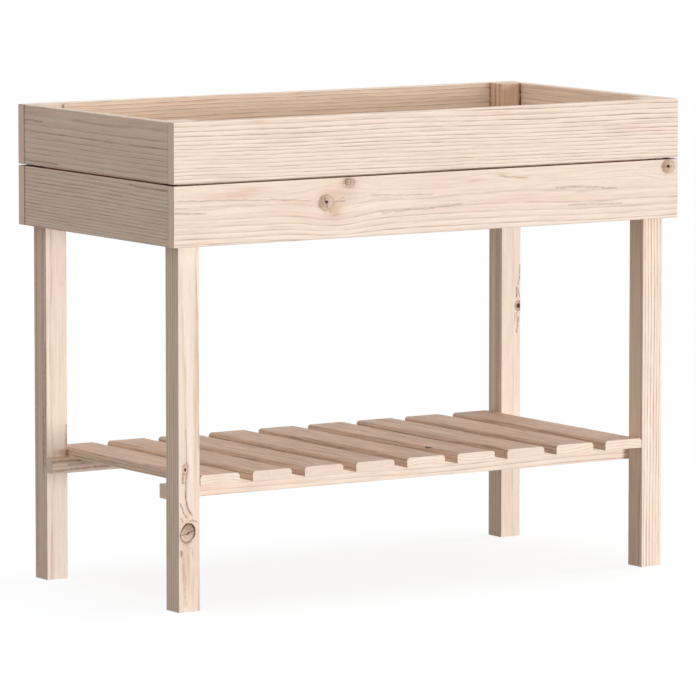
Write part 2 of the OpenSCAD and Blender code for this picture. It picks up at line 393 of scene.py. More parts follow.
angle = calc(knot, "ARCTAN2", flat_parts[2], flat_parts[0])
side = vector_calc(knot, "DOT_PRODUCT", flat, put["Dark Side"])
speckle = blur_noise(knot, seeded(knot, flat, SPECKLE_FINENESS, seed_shift))
wobble = blur_noise(knot, seeded(knot, flat, WOBBLE_FINENESS, seed_shift))

brown = calc(knot, "ADD", side, times(knot, speckle, BROWN_RAGGEDNESS))
fill = blend_colour(knot, ramp(knot, brown, *BROWN_STEP), KNOT_PALE, KNOT_BROWN)
turns = calc(knot, "ADD", times(knot, near, TURN_RATE), times(knot, wobble, TURN_WOBBLE))
fill = blend_colour(knot, ramp(knot, calc(knot, "SINE", turns), *TURN_STEP), fill, KNOT_LINE)
fill = blend_colour(knot, ramp(knot, speckle, *SPECKLE_STEP), fill, SPRING_WOOD)
halo = calc(knot, "MAXIMUM", calc(knot, "SUBTRACT", near, HALO_START), 0.0)
halo = times(knot, fade(knot, halo, HALO_FALL), ramp(knot, wobble, *HALO_STEP), at_face, put["Halo"])
colour = blend_colour(knot, halo, put["Color"], KNOT_HALO)
inside = times(knot, fall(knot, near, *FILL_STEP), put["Fill"], at_face)
colour = blend_colour(knot, inside, colour, fill)

rim = calc(knot, "DIVIDE", calc(knot, "SUBTRACT", near, RIM_PLACE), RIM_WIDTH)
rim = fade(knot, calc(knot, "POWER", rim, 2.0), 1.0)
rim = times(knot, rim, ramp(knot, side, *RIM_SIDE_STEP), ramp(knot, wobble, *RIM_STEP))
rim = times(knot, rim, put["Rim"], at_face)
colour = blend_colour(knot, rim, colour, KNOT_BARK)
ray = calc(knot, "ADD", times(knot, angle, put["Rays"]), put["Ray Turn"])
ray = times(knot, calc(knot, "ABSOLUTE", calc(knot, "SINE", ray)), near)
ray = fall(knot, calc(knot, "ADD", ray, times(knot, speckle, CRACK_RAGGEDNESS)), *CRACK_STEP)
ray = times(knot, ray, fall(knot, near, *CRACK_END_STEP), put["Cracks"], at_face)
ragged = times(knot, calc(knot, "SUBTRACT", speckle, MID_NOISE), CORE_RAGGEDNESS)
core = calc(knot, "DIVIDE", calc(knot, "ADD", near, ragged), put["Core"])
core = times(knot, fall(knot, core, *CORE_STEP), at_face)
dark = calc(knot, "MAXIMUM", core, ray)
feed(out["Color"], blend_colour(knot, dark, colour, KNOT_BARK))
sunk = calc(knot, "ADD", times(knot, dark, CORE_SINK), times(knot, rim, RIM_SINK))
feed(out["Height"], calc(knot, "SUBTRACT", put["Height"], sunk))


# A dark hairline between two points of the show face. It draws resin streaks and grain lines, and on
# some legs painted shade along the edges where pieces meet

HAIRLINE_DEPTH = 0.003
SHAKE_FINENESS = (60.0, 60.0, 60.0)
SHAKE_SIZE = 0.004
PATCHY_FINENESS = (160.0, 160.0, 160.0)
PATCHY_STEP = (0.3, 0.6, 0.55, 1.0)

hairline, put, out = new_group(
    "Dark streak",
    [("Color", "C"), ("Place", "V"), ("From", "V"), ("To", "V"), ("Width", "F"), ("Strength", "F"),
     ("Ink", "C"), ("Seed", "F")],
    [("Color", "C")],
)
run = vector_calc(hairline, "SUBTRACT", put["To"], put["From"])
run_parts = parts_of(hairline, run)
off = vector_calc(hairline, "SUBTRACT", put["Place"], put["From"])
off_along, under, off_across = parts_of(hairline, off)
shake = blur_noise(
    hairline, seeded(hairline, put["Place"], SHAKE_FINENESS, evenly(hairline, put["Seed"])), detail=1.0
)
shake = times(hairline, calc(hairline, "SUBTRACT", shake, MID_NOISE), SHAKE_SIZE)
off_across = calc(hairline, "ADD", off_across, shake)
share = vector_calc(hairline, "DOT_PRODUCT", off, run)
share = calc(hairline, "DIVIDE", share, vector_calc(hairline, "DOT_PRODUCT", run, run))
share = calc(hairline, "MINIMUM", calc(hairline, "MAXIMUM", share, 0.0), 1.0)
gap_along = calc(hairline, "SUBTRACT", off_along, times(hairline, run_parts[0], share))
gap_across = calc(hairline, "SUBTRACT", off_across, times(hairline, run_parts[2], share))
gap = times(hairline, gap_along, gap_along)
gap = calc(hairline, "ADD", gap, times(hairline, gap_across, gap_across))
gap = calc(hairline, "DIVIDE", gap, times(hairline, put["Width"], put["Width"]))
patchy = blur_noise(hairline, stretch(hairline, put["Place"], PATCHY_FINENESS), detail=1.0)
mark = times(hairline, fade(hairline, gap, 1.0), ramp(hairline, patchy, *PATCHY_STEP))
mark = times(hairline, mark, put["Strength"], skin(hairline, under, HAIRLINE_DEPTH))
feed(out["Color"], blend_colour(hairline, mark, put["Color"], put["Ink"]))


# A soft patch drawn out along the grain: a stained patch in the wood, and on some pieces painted light
# and painted shade

STAIN_DEPTH = 0.006
DRAWN_FINENESS = (14.0, 170.0, 170.0)
DRAWN_STEP = (0.30, 0.65, 0.35, 1.0)

stain_and_light, put, out = new_group(
    "Stain and painted light",
    [("Color", "C"), ("Place", "V"), ("Centre", "V"), ("Reach", "V"), ("Strength", "F"), ("Ink", "C"),
     ("Seed", "F")],
    [("Color", "C")],
)
off = vector_calc(stain_and_light, "SUBTRACT", put["Place"], put["Centre"])
drawn = blur_noise(stain_and_light, seeded(stain_and_light, put["Place"], DRAWN_FINENESS, evenly(stain_and_light, put["Seed"])))
mark = times(stain_and_light, soft_spot(stain_and_light, off, put["Reach"]), put["Strength"])
mark = times(stain_and_light, mark, ramp(stain_and_light, drawn, *DRAWN_STEP))
mark = times(stain_and_light, mark, skin(stain_and_light, parts_of(stain_and_light, off)[1], STAIN_DEPTH))
feed(out["Color"], blend_colour(stain_and_light, mark, put["Color"], put["Ink"]))


# Edges that are a little paler and rougher. The roughness is wear, where the plane and hands have
# worn them, and the paleness is partly that wear and partly a painted highlight along the arrises.
# The end faces, which cut the grain across, are told apart here too.

WEAR_AND_HIGHLIGHT_FINENESS = (60.0, 300.0, 300.0)
WEAR_AND_HIGHLIGHT_STEP = (0.3, 0.7, 0.35, 1.25)
END_FACE_STEP = (0.0001, 0.0008)

edges, put, out = new_group(
    "Worn and lit edge",
    [("Place", "V"), ("Half Size", "V"), ("Width", "F")],
    [("Edge", "F"), ("End Face", "F")],
)
inside = vector_calc(edges, "SUBTRACT", put["Half Size"], vector_calc(edges, "ABSOLUTE", put["Place"]))
gap_x, gap_y, gap_z = parts_of(edges, inside)
low_pair = calc(edges, "MINIMUM", gap_x, gap_y)
high_pair = calc(edges, "MAXIMUM", gap_x, gap_y)
second = calc(edges, "MAXIMUM", low_pair, calc(edges, "MINIMUM", high_pair, gap_z))
wear_and_highlight = blur_noise(edges, stretch(edges, put["Place"], WEAR_AND_HIGHLIGHT_FINENESS), detail=3.0, rough=0.6)
wear_and_highlight_width = times(edges, put["Width"], ramp(edges, wear_and_highlight, *WEAR_AND_HIGHLIGHT_STEP))
feed(out["Edge"], fall(edges, calc(edges, "DIVIDE", second, wear_and_highlight_width), 0.0, 1.0))
feed(out["End Face"], fall(edges, gap_x, *END_FACE_STEP))


# The finish of planed pine: colour, roughness and fine relief from the masks above

WEAR_AND_HIGHLIGHT_WIDTH = 0.0022
SEED_STEP = (0.37, 0.53, 0.71)
PINK_FINENESS = (4.5, 26.0, 26.0)
STRAW_FINENESS = (3.0, 34.0, 34.0)
STREAK_FINENESS = (10.0, 300.0, 300.0)
FIBRE_FINENESS = (55.0, 1500.0, 1500.0)
FLECK_FINENESS = (120.0, 1300.0, 1300.0)
PINK_STEP = (0.48, 0.72)
STRAW_STEP = (0.50, 0.74)
STREAK_STEP = (0.22, 0.62)
FLECK_STEP = (0.70, 0.80, 0.0, 0.22)
JOINT_STEP = (0.0002, 0.0006, 0.9, 0.0)
BUTT_STEP = (0.0006, 0.0018)
FIBRE_SHADE_STEP = (0.2, 0.8, 0.96, 1.04)
TONE_SHADE_STEP = (0.0, 1.0, 0.985, 1.012)
ROUGHNESS_STEP = (0.2, 0.8, 0.54, 0.66)

# How much each effect adds to the colour, the roughness and the relief

SPRING_SHARE = 0.6
STREAK_SHARE = 0.19
END_STREAK_SHARE = 0.02
EDGE_SHARE = 0.50
OPEN_SHADE = 1.03
LATE_SMOOTHER = 0.07
EDGE_ROUGHER = 0.08
END_ROUGHER = 0.10
LATE_RELIEF = 0.35
FIBRE_RELIEF = 0.35
STREAK_RELIEF = 0.20

pine, put, out = new_group(
    "Planed pine",
    [("Place", "V"), ("Bent Place", "V"), ("Facing", "V"), ("Half Size", "V"), ("Heart", "V"),
     ("Ring Width", "F"), ("Lean", "V"), ("Wave", "F"), ("Lines", "F"), ("End Lines", "F"),
     ("Streaks", "F"), ("Tint", "C"), ("End Tint", "C"), ("Joint", "F"), ("Butt", "F"), ("Seed", "F")],
    [("Color", "C"), ("Roughness", "F"), ("Height", "F")],
)
ring = use_group(
    pine, rings, Place=put["Bent Place"], Facing=put["Facing"], Heart=put["Heart"],
    Ring_Width=put["Ring Width"], Lean=put["Lean"], Wave=put["Wave"], Seed=put["Seed"],
)
edge = use_group(pine, edges, Place=put["Place"], Half_Size=put["Half Size"], Width=WEAR_AND_HIGHLIGHT_WIDTH)
at_end = edge["End Face"]
seed_shift = stretch(pine, evenly(pine, put["Seed"]), SEED_STEP)
own_place = vector_calc(pine, "ADD", put["Bent Place"], seed_shift)
pink_patch = blur_noise(pine, stretch(pine, own_place, PINK_FINENESS))
straw_patch = blur_noise(pine, stretch(pine, own_place, STRAW_FINENESS), scale=1.3)
streak = blur_noise(pine, stretch(pine, own_place, STREAK_FINENESS), detail=3.0, rough=0.7)
fibre = blur_noise(pine, stretch(pine, own_place, FIBRE_FINENESS), detail=2.0, rough=0.6)
fleck = blur_noise(pine, stretch(pine, own_place, FLECK_FINENESS), detail=0.0)

line_amount = blend_number(pine, at_end, put["Lines"], put["End Lines"])
colour = blend_colour(pine, ramp(pine, pink_patch, *PINK_STEP), EARLY_WOOD, PINK_WOOD)
colour = blend_colour(pine, ramp(pine, straw_patch, *STRAW_STEP), colour, STRAW_WOOD)
spring = times(pine, ring["Spring Wood"], line_amount, SPRING_SHARE)
colour = blend_colour(pine, spring, colour, SPRING_WOOD)
late = times(pine, ring["Late Wood"], line_amount)
colour = blend_colour(pine, late, colour, LATE_WOOD)
dim_streak = times(pine, fall(pine, streak, *STREAK_STEP), put["Streaks"])
streak_share = ramp(pine, at_end, 0.0, 1.0, STREAK_SHARE, END_STREAK_SHARE)
dim_streak = times(pine, dim_streak, streak_share)
shade = calc(pine, "SUBTRACT", OPEN_SHADE, dim_streak)
shade = times(pine, shade, ramp(pine, fibre, *FIBRE_SHADE_STEP))
shade = times(pine, shade, ramp(pine, ring["Tone"], *TONE_SHADE_STEP))
face_tint = blend_colour(pine, at_end, put["Tint"], put["End Tint"])
colour = blend_colour(pine, 1.0, colour, face_tint, "MULTIPLY")
colour = blend_colour(pine, 1.0, colour, evenly(pine, shade), "MULTIPLY")
flecks = calc(pine, "SUBTRACT", ramp(pine, fleck, *FLECK_STEP), at_end)
colour = blend_colour(pine, calc(pine, "MAXIMUM", flecks, 0.0), colour, RESIN_FLECK)
# Paler edges: partly wear, and partly a painted highlight along the arrises.
worn_and_lit_edge = blend_colour(pine, 1.0, EDGE_WEAR_AND_HIGHLIGHT, face_tint, "MULTIPLY")
colour = blend_colour(pine, times(pine, edge["Edge"], EDGE_SHARE), colour, worn_and_lit_edge)

place_parts = parts_of(pine, put["Place"])
half_parts = parts_of(pine, put["Half Size"])
# Painted shade: the faces inside the open joints, and the lines where the ends butt against their
# neighbours, get JOINT_SHADOW.
to_joint = calc(pine, "SUBTRACT", half_parts[2], times(pine, place_parts[2], put["Joint"]))
to_end = calc(pine, "SUBTRACT", half_parts[0], calc(pine, "ABSOLUTE", place_parts[0]))
in_butt = times(pine, fall(pine, to_end, *BUTT_STEP), put["Butt"])
in_joint = calc(pine, "MAXIMUM", ramp(pine, to_joint, *JOINT_STEP), in_butt)
feed(out["Color"], blend_colour(pine, in_joint, colour, JOINT_SHADOW))
rough = ramp(pine, fibre, *ROUGHNESS_STEP)
rough = calc(pine, "SUBTRACT", rough, times(pine, late, LATE_SMOOTHER))
rough = calc(pine, "ADD", rough, times(pine, edge["Edge"], EDGE_ROUGHER))
rough = calc(pine, "ADD", rough, times(pine, at_end, END_ROUGHER))
feed(out["Roughness"], rough)
relief = times(pine, late, LATE_RELIEF)
relief = calc(pine, "ADD", relief, times(pine, fibre, FIBRE_RELIEF))
relief = calc(pine, "ADD", relief, times(pine, streak, STREAK_RELIEF))
feed(out["Height"], relief)


# How a piece was cut: which way its grain runs, turned so that the pattern's X is along the grain,
# Y is through the show face and Z is across it

CUTS = {
    "long": Matrix(((1, 0, 0), (0, 1, 0), (0, 0, 1))),
    "short": Matrix(((0, 1, 0), (-1, 0, 0), (0, 0, 1))),
    "upright": Matrix(((0, 0, 1), (0, 1, 0), (-1, 0, 0))),
    "slat": Matrix(((0, 1, 0), (0, 0, 1), (1, 0, 0))),
}
GLOSS = 0.25
RELIEF_STRENGTH = 0.35
RELIEF_DEPTH = 0.0004


def mm(x, y, z):
    """A place on the planter, given in millimetres."""
    return Vector((x, y, z)) / 1000


# Spots on the faces that carry marks, in millimetres

def front_board(x, z):
    """On the front faces of the front boards."""
    return mm(x, -250, z)


def left_board(y, z):
    """On the left faces of the left boards."""
    return mm(-500, y, z)


def front_leg(x, z):
    """On the front faces of the front legs."""
    return mm(x, -232, z)


def left_leg(y, z):
    """On the left faces of the left legs."""
    return mm(-482, y, z)


def back_leg(x, z):
    """On the front faces of the back legs."""
    return mm(x, 192, z)


def right_leg(y, z):
    """On the left faces of the right legs."""
    return mm(442, y, z)


def back_rail(x, z):
    """On the front face of the back shelf rail."""
    return mm(x, 172, z)


def shelf_top(x, y):
    """On the upper faces of the shelf slats."""
    return mm(x, y, 222)


def line(face, *points, width, strength, ink=RESIN_INK):
    """A hairline through points of a face, in millimetres, with its width in metres."""
    return dict(points=[face(*point) for point in points], width=width, strength=strength, ink=ink)


def add_stain_and_painted_light(tree, colour, mark, place, spot, seed):
    made = use_group(
        tree, stain_and_light, Color=colour, Place=place, Centre=spot(mark["at"]), Strength=mark["strength"],
        Reach=(mark["along"], 1.0, mark["across"]), Ink=mark["ink"], Seed=seed,
    )
    return made["Color"]


def add_hairline(tree, colour, mark, place, spot, seed):
    points = mark["points"]
    for first, second in zip(points, points[1:]):
        made = use_group(
            tree, hairline, Color=colour, Place=place, From=spot(first), To=spot(second),
            Width=mark["width"], Strength=mark["strength"], Ink=mark["ink"], Seed=seed,
        )
        colour = made["Color"]
    return colour


def add_knot(tree, colour, height, mark, place, spot):
    made = use_group(
        tree, knot, Color=colour, Height=height, Place=place, Centre=spot(mark["at"]),
        Size=(mark["along"], 1.0, mark["across"]), Tilt=math.radians(mark.get("tilt", 0.0)),
        Dark_Side=mark.get("dark_side", (0.0, 0.0, 0.0)), Fill=mark["fill"], Rim=mark["rim"],
        Core=mark["core"], Halo=mark.get("halo", 0.5), Cracks=mark["cracks"],
        Rays=mark.get("rays", 1.0), Ray_Turn=mark.get("ray_turn", 0.0), Seed=mark["seed"],
    )
    return made["Color"], made["Height"]


def paint_pine(name, cut, heart, ring=0.005, lean=(0.0, 0.0), wave=0.008, lines=1.0, end_lines=0.15,
               streaks=1.0, tint=PLAIN, end_tint=PALE_END, joint=0.0, butt=0.0, seed=0.0, eddies=(),
               stains_and_painted_light=(), hairlines=(), knots=()):
    """Gives one CAD node its own board of pine, with its marks on top.

    heart is where the rings' centre runs, in metres from the middle of the piece: through the show
    face, then across it. ring is the width of a year, lean how far the heart strays in each metre
    of length, and wave how much the grain wanders, in metres. lines and end_lines say how strongly
    the late wood shows on the sides and on the ends, and streaks how deep the dim streaks are.
    joint is 1 or -1 where an open joint runs along the piece's upper or lower edge, and butt darkens
    the hairlines where its two ends meet their neighbours.
    """
    low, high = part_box(name)
    middle = (low + high) / 2
    turn = CUTS[cut]
    half = turn @ ((high - low) / 2)
    material, tree, shader = new_material("pine " + name.replace("_", " "))
    shader.inputs["Specular IOR Level"].default_value = GLOSS
    source = new_node(tree, "ShaderNodeTexCoord")
    turned = new_node(tree, "ShaderNodeMapping", vector_type="TEXTURE")
    feed(turned.inputs["Vector"], source.outputs["Object"])
    turned.inputs["Location"].default_value = middle
    turned.inputs["Rotation"].default_value = turn.transposed().to_euler()
    place = turned.outputs["Vector"]
    facing = new_node(tree, "ShaderNodeMapping", vector_type="VECTOR")
    feed(facing.inputs["Vector"], source.outputs["Normal"])
    facing.inputs["Rotation"].default_value = turn.to_euler()

    def spot(at):
        return turn @ (at - middle)

    bent = place
    for flow in eddies:
        made = use_group(
            tree, eddy, Place=bent, Before=place, Centre=spot(flow["at"]),
            Reach=(flow["along"], 1.0, flow["across"]), Swirl=flow["swirl"],
        )
        bent = made["Place"]
    board = use_group(
        tree, pine, Place=place, Bent_Place=bent, Facing=facing.outputs["Vector"],
        Half_Size=Vector((abs(half.x), abs(half.y), abs(half.z))), Heart=(0.0, heart[0], heart[1]),
        Ring_Width=ring, Lean=(0.0, lean[0], lean[1]), Wave=wave, Lines=lines, End_Lines=end_lines,
        Streaks=streaks, Tint=tint, End_Tint=end_tint, Joint=joint, Butt=butt, Seed=seed,
    )
    colour = board["Color"]
    height = board["Height"]
    for mark in stains_and_painted_light:
        colour = add_stain_and_painted_light(tree, colour, mark, place, spot, seed)
    for mark in hairlines:
        colour = add_hairline(tree, colour, mark, place, spot, seed)
    for mark in knots:
        colour, height = add_knot(tree, colour, height, mark, place, spot)
    feed_shader(tree, shader, colour, board["Roughness"], height, RELIEF_STRENGTH, RELIEF_DEPTH)
    dress(name, material)


# Box boards

paint_pine(
    "upper_front_board", "long", heart=(0.077, 0.103), ring=0.0052, lean=(0.0, -0.01), wave=0.006,
    joint=-1.0, seed=3.1,
    stains_and_painted_light=(
        dict(at=front_board(-342, 794), along=0.026, across=0.004, strength=0.8, ink=TAN_STAIN),
        dict(at=front_board(134, 790), along=0.018, across=0.003, strength=0.6, ink=PINK_STAIN),
    ),
)
paint_pine(
    "lower_front_board", "long", heart=(0.076, 0.035), ring=0.0065, lean=(0.0, -0.008), wave=0.009,
    lines=0.75, joint=1.0, seed=7.4,
    eddies=(
        dict(at=front_board(-190, 668), along=0.062, across=0.044, swirl=0.7),
        dict(at=front_board(480, 686), along=0.034, across=0.026, swirl=0.7),
    ),
    stains_and_painted_light=(
        dict(at=front_board(-385, 677), along=0.055, across=0.0065, strength=0.95, ink=PINK_STAIN),
        dict(at=front_board(-345, 686), along=0.035, across=0.004, strength=0.7, ink=PINK_STAIN),
        dict(at=front_board(80, 680), along=0.024, across=0.004, strength=0.8, ink=PINK_STAIN),
        dict(at=front_board(140, 687), along=0.016, across=0.003, strength=0.8, ink=OLIVE_STAIN),
        dict(at=front_board(184, 682), along=0.022, across=0.003, strength=0.7, ink=PINK_STAIN),
        dict(at=front_board(-190, 676), along=0.022, across=0.012, strength=0.6, ink=PINK_STAIN),
        dict(at=front_board(-193, 643), along=0.014, across=0.011, strength=1.1, ink=TAN_STAIN),
        dict(at=front_board(-194, 646), along=0.01, across=0.006, strength=0.6, ink=OLIVE_STAIN),
        dict(at=front_board(-166, 688), along=0.011, across=0.0085, strength=0.65, ink=KNOT_LINE),
    ),
    hairlines=(
        line(front_board, (-500, 673), (-390, 670), width=0.0012, strength=0.5, ink=GRAIN_INK),
        line(front_board, (-500, 653.7), (-440, 650.6), width=0.0012, strength=0.6, ink=GRAIN_INK),
        line(front_board, (-390, 670), (-290, 666), (-240, 662), width=0.0014, strength=0.5,
             ink=GRAIN_INK),
        line(front_board, (-120, 666), (0, 660), width=0.0011, strength=0.5, ink=GRAIN_INK),
        line(front_board, (-100, 635.4), (0, 638.4), (57, 642.5), width=0.0013, strength=0.6,
             ink=GRAIN_INK),
        line(front_board, (134, 685), (191, 679), width=0.0012, strength=0.6, ink=GRAIN_INK),
        line(front_board, (250, 660), (286, 660), (372, 653.7), width=0.0013, strength=0.6,
             ink=GRAIN_INK),
        line(front_board, (274, 630), (384, 627), width=0.0012, strength=0.5, ink=GRAIN_INK),
        line(front_board, (-203, 655.5), (-191, 658.5), (-173, 658.3), width=0.0012, strength=0.5),
        line(front_board, (-209.5, 666), (-207.2, 657), width=0.0014, strength=0.6),
        line(front_board, (-171.3, 690), (-169.5, 687.5), width=0.002, strength=0.7),
        line(front_board, (-182, 662), (-174, 664.5), width=0.001, strength=0.35),
        line(front_board, (-204, 651), (-201, 642), width=0.001, strength=0.5),
        line(front_board, (-201, 654.5), (-189, 654), width=0.0008, strength=0.5),
        line(front_board, (-195.5, 654), (-195.5, 647), width=0.0008, strength=0.4),
        line(front_board, (-197, 635.5), (-184, 636.5), width=0.001, strength=0.4),
    ),
    knots=(
        dict(at=front_board(-209, 657.5), along=0.0146, across=0.0134, dark_side=(-0.9, 0.0, 0.2),
             fill=0.8, rim=0.36, core=0.2, halo=0.9, cracks=0.7, ray_turn=1.3, seed=1.0),
        dict(at=front_board(-164.5, 688.0), along=0.0122, across=0.0086, dark_side=(0.3, 0.0, 0.3),
             fill=0.6, rim=0.3, core=0.01, halo=0.7, cracks=0.0, rays=1.5, seed=14.1),
        dict(at=front_board(-166.5, 689.2), along=0.0056, across=0.005, dark_side=(-0.8, 0.0, 0.3),
             fill=0.9, rim=2.4, core=0.16, halo=0.0, cracks=0.7, rays=1.5, ray_turn=0.4, seed=2.3),
        dict(at=front_board(480, 685.5), along=0.0138, across=0.0118, dark_side=(-1.0, 0.0, 0.1),
             fill=0.9, rim=0.4, core=0.22, halo=0.6, cracks=0.8, rays=2.0, ray_turn=0.2, seed=4.0),
    ),
)
# Painted light: the upper back board is tinted brighter, for its inner face in the box's shade.
paint_pine(
    "upper_back_board", "long", heart=(-0.05, -0.11), ring=0.0064, tint=PAINTED_LIGHT_TINT, joint=-1.0, seed=11.0,
)
paint_pine("lower_back_board", "long", heart=(0.06, 0.1), ring=0.0058, joint=1.0, seed=13.5)
paint_pine(
    "upper_left_board", "short", heart=(0.05, 0.045), ring=0.0075, wave=0.006, lines=0.85, joint=-1.0,
    butt=0.5, seed=17.2,
    hairlines=(
        line(left_board, (232, 775), (168, 775), width=0.0016, strength=0.7, ink=GRAIN_INK),
        line(left_board, (230, 708), (120, 707.5), width=0.0014, strength=0.8, ink=GRAIN_INK),
        line(left_board, (231.2, 800), (231.2, 700), width=0.003, strength=0.75),
    ),
)
paint_pine(
    "lower_left_board", "short", heart=(0.07, 0.093), lean=(0.0, 0.01), wave=0.009, lines=1.2,
    joint=1.0, butt=0.5, seed=19.9,
    hairlines=(
        line(left_board, (-110, 691), (-150, 688.5), (-230, 689.5), width=0.0014, strength=0.8,
             ink=GRAIN_INK),
        line(left_board, (231.2, 697), (231.2, 598), width=0.003, strength=0.75),
    ),
)
# Painted light: the upper right board is tinted brighter, for its inner face in the box's shade.
paint_pine(
    "upper_right_board", "short", heart=(-0.06, 0.08), ring=0.0058, lines=0.6, tint=PAINTED_LIGHT_TINT, joint=-1.0,
    butt=0.5, seed=23.3,
)
paint_pine(
    "lower_right_board", "short", heart=(-0.07, -0.09), ring=0.0054, joint=1.0, butt=0.5, seed=29.1,
)

# Legs

paint_pine(
    "leg_front_left", "upright", heart=(0.12, 0.03), ring=0.006, wave=0.005, streaks=0.8, seed=31.7,
    eddies=(
        dict(at=front_leg(-467, 130), along=0.05, across=0.02, swirl=0.7),
    ),
    stains_and_painted_light=(
        dict(at=front_leg(-450, 330), along=0.17, across=0.0035, strength=0.9, ink=TAN_STAIN),
        dict(at=front_leg(-475, 226), along=0.012, across=0.0025, strength=0.9, ink=OLIVE_STAIN),
        dict(at=front_leg(-469, 234), along=0.012, across=0.006, strength=0.7, ink=PINK_STAIN),
        dict(at=front_leg(-465, 88), along=0.03, across=0.005, strength=0.9, ink=OLIVE_STAIN),
        dict(at=front_leg(-474, 68), along=0.022, across=0.0022, strength=0.9, ink=TAN_STAIN),
        dict(at=front_leg(-459, 60), along=0.045, across=0.008, strength=0.7, ink=TAN_STAIN),
        dict(at=front_leg(-466, 129), along=0.026, across=0.02, strength=0.7, ink=PINK_STAIN),
        # Painted light on the front face just under the box.
        dict(at=front_leg(-458, 585), along=0.035, across=0.03, strength=1.1, ink=PAINTED_LIGHT_WOOD),
    ),
    hairlines=(
        line(front_leg, (-467.7, 300), (-467.9, 245), width=0.0008, strength=0.5),
        line(front_leg, (-474, 241), (-467.7, 245), (-464, 238), width=0.0011, strength=0.55),
        line(front_leg, (-465.8, 227), (-469, 213.3), (-469, 188.6), (-466.8, 175.2), (-459.1, 161.9),
             width=0.0013, strength=0.85),
        line(front_leg, (-461.5, 166), (-457.0, 159), width=0.0016, strength=0.6),
        line(front_leg, (-473.2, 227), (-474.6, 213), width=0.0018, strength=0.85),
        line(front_leg, (-479.3, 179), (-472.5, 163.8), (-466.8, 155.2), width=0.0012, strength=0.75),
        line(front_leg, (-478.5, 155), (-474.4, 148.6), width=0.0013, strength=0.6),
        line(front_leg, (-461, 149), (-455, 150), (-448, 147), width=0.0013, strength=0.6),
        line(front_leg, (-474, 112), (-465, 110), (-457, 113), width=0.001, strength=0.5),
        line(front_leg, (-477.2, 100), (-477.0, 93), width=0.0022, strength=0.8),
        line(front_leg, (-463, 106), (-457, 104), width=0.0012, strength=0.4),
        line(front_leg, (-456.5, 99), (-456, 94), width=0.0012, strength=0.35),
        line(front_leg, (-474.5, 88), (-471.5, 55), (-470, 12), width=0.003, strength=0.4,
             ink=GRAIN_INK),
    ),
    knots=(
        dict(at=front_leg(-465.3, 129.5), along=0.0162, across=0.013, tilt=-30.0,
             dark_side=(1.0, 0.0, 0.0), fill=1.0, rim=1.7, core=0.13, cracks=1.0, ray_turn=0.97,
             seed=5.0),
        dict(at=front_leg(-469.6, 234), along=0.0085, across=0.0052, fill=0.45, rim=0.7, core=0.36,
             halo=0.6, cracks=0.0, seed=6.0),
    ),
)
# Painted light: the front right leg is tinted brighter.
paint_pine(
    "leg_front_right", "upright", heart=(0.012, 0.11), ring=0.006, wave=0.006, lines=1.4, tint=PAINTED_LIGHT_TINT,
    seed=37.5,
)
paint_pine(
    "leg_back_left", "upright", heart=(0.12, -0.02), ring=0.0056, wave=0.005, streaks=0.8, seed=41.3,
    hairlines=(
        line(left_leg, (203.5, 590), (204.5, 300), (201, 180), width=0.0016, strength=0.28),
        line(left_leg, (202, 290), (201, 195), width=0.0022, strength=0.5),
        line(left_leg, (196.5, 400), (196, 190), width=0.0014, strength=0.35),
        line(left_leg, (224, 590), (223, 20), width=0.0018, strength=0.5, ink=GRAIN_INK),
        # The next two lines are painted shade: along the leg's inner edge above the shelf, and at its
        # top where it meets the back board.
        line(back_leg, (-444.5, 260), (-444.0, 207), width=0.0022, strength=0.6),
        line(back_leg, (-446.6, 799.5), (-446.6, 795.5), width=0.0028, strength=1.0, ink=KNOT_BARK),
    ),
)
